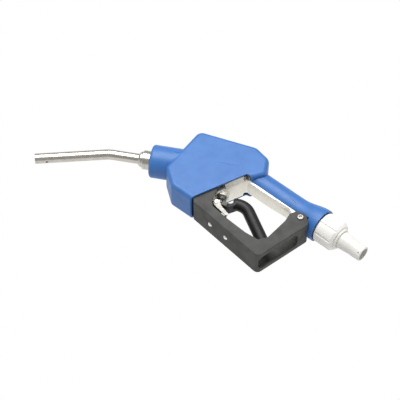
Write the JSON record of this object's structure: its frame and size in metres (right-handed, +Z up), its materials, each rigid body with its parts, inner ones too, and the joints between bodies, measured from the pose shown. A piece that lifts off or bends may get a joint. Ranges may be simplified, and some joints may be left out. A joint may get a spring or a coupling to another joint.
{
  "type": "fuel nozzle",
  "caption": "Automatic fluid-dispensing nozzle: bent steel spout, moulded cover, lever with hold-open clip inside a channel guard, and a swivelling plastic hose tail.",
  "frame": {"origin": "centre of the bounding box in plan, on the surface the nozzle lies on", "axes": "+X from the spout's tip towards the hose tail, +Y away from the trigger, +Z up out of the side it lies on"},
  "size_m": [0.5247, 0.2102, 0.052],
  "materials": {
    "blue_cover": "satin injection-moulded blue plastic",
    "cast_body": "satin sand-textured die casting",
    "brass_parts": "turned",
    "rubber_seals": "moulded",
    "stainless_rod": "turned",
    "spring_steel": "drawn wire",
    "white_seal": "smooth",
    "black_plastic": "moulded",
    "brushed_spout": "brushed along its length",
    "spout_nut_steel": "turned",
    "lever_black": "smooth dark coating over the bar",
    "clip_steel": "stamped, bright",
    "rivet_steel": "bright",
    "clip_stop_grey": "moulded",
    "guard_grey": "fine moulded grain",
    "rack_black": "black coated strip",
    "screw_steel": "bright",
    "white_nut": "moulded white plastic",
    "white_tail": "moulded white plastic"
  },
  "bodies": {
    "root": {"cover_upper": "blue_cover", "cover_lower": "blue_cover", "valve_body": "cast_body", "main_valve_seat": "brass_parts", "main_spring": "spring_steel", "valve_cap": "brass_parts", "stem_packing": "white_seal", "packing_nut": "screw_steel", "plunger_spring": "spring_steel", "diaphragm": "rubber_seals", "diaphragm_spring": "spring_steel", "diaphragm_cap": "brass_parts", "check_valve_seat": "brass_parts", "check_spring_carrier": "black_plastic", "check_spring": "spring_steel", "spout_tube": "brushed_spout", "vacuum_tube": "stainless_rod", "sensing_bush": "black_plastic", "spout_nut": "spout_nut_steel", "spout_ferrule": "spout_nut_steel", "spout_seal": "rubber_seals", "spout_washer": "white_seal", "guard": "guard_grey", "hold_open_rack": "rack_black", "rack_rivets": "rivet_steel", "guard_rear_screw": "screw_steel", "guard_rear_nut": "screw_steel", "guard_front_screw": "screw_steel", "coupling_nut": "white_nut", "inlet_gasket": "rubber_seals", "swivel_washer": "white_seal", "inlet_strainer": "stainless_rod", "cover_screws": "screw_steel"},
    "plunger": {"shutoff_plunger": "stainless_rod", "lever_pivot_pin": "stainless_rod", "pivot_circlips": "spring_steel"},
    "lever": {"lever": "lever_black", "clip_rivet": "rivet_steel", "clip_stop": "clip_stop_grey"},
    "clip": {"hold_open_clip": "clip_steel"},
    "stem": {"valve_stem": "stainless_rod", "main_poppet": "brass_parts", "poppet_seal": "rubber_seals", "stem_circlip": "spring_steel"},
    "latch": {"latch_pin": "stainless_rod", "diaphragm_plate": "brass_parts"},
    "check": {"check_poppet": "black_plastic"},
    "tail": {"hose_tail": "white_tail"}
  },
  "joints": [
    {"name": "plunger_slide", "type": "slide", "parent": "root", "child": "plunger", "axis": [0, -1, 0], "range_m": [0, 0.0035], "stiffness_N_per_m": 400, "springref_m": -0.004, "deforming": ["plunger_spring"]},
    {"name": "lever_hinge", "type": "hinge", "parent": "plunger", "child": "lever", "pos_m": [0.01311, -0.0114, 0.026], "axis": [0, 0, 1], "range_deg": [0, 15], "stiffness_Nm_per_rad": 0.8, "springref_deg": -11.46},
    {"name": "clip_hinge", "type": "hinge", "parent": "lever", "child": "clip", "pos_m": [0.02971, -0.0129, 0.026], "axis": [0, 0, 1], "range_deg": [-14, 0], "stiffness_Nm_per_rad": 0.02, "springref_deg": 11.46},
    {"name": "stem_slide", "type": "slide", "parent": "root", "child": "stem", "axis": [0, 1, 0], "range_m": [0, 0.0061], "deforming": ["main_spring"]},
    {"name": "latch_slide", "type": "slide", "parent": "root", "child": "latch", "axis": [-1, 0, 0], "range_m": [0, 0.003], "deforming": ["diaphragm_spring", "diaphragm"]},
    {"name": "check_slide", "type": "slide", "parent": "root", "child": "check", "axis": [-1, 0, 0], "range_m": [0, 0.004], "stiffness_N_per_m": 150, "springref_m": -0.003, "deforming": ["check_spring"]},
    {"name": "tail_swivel", "type": "hinge", "parent": "root", "child": "tail", "pos_m": [0.21074, -0.0309, 0.026], "axis": [0.866, -0.5, 0], "continuous": true}
  ],
  "couplings": [
    {"joint": "stem_slide", "follows": "lever_hinge", "m_per_rad": 0.023},
    {"joint": "latch_slide", "follows": "plunger_slide", "ratio": 0.85}
  ]
}
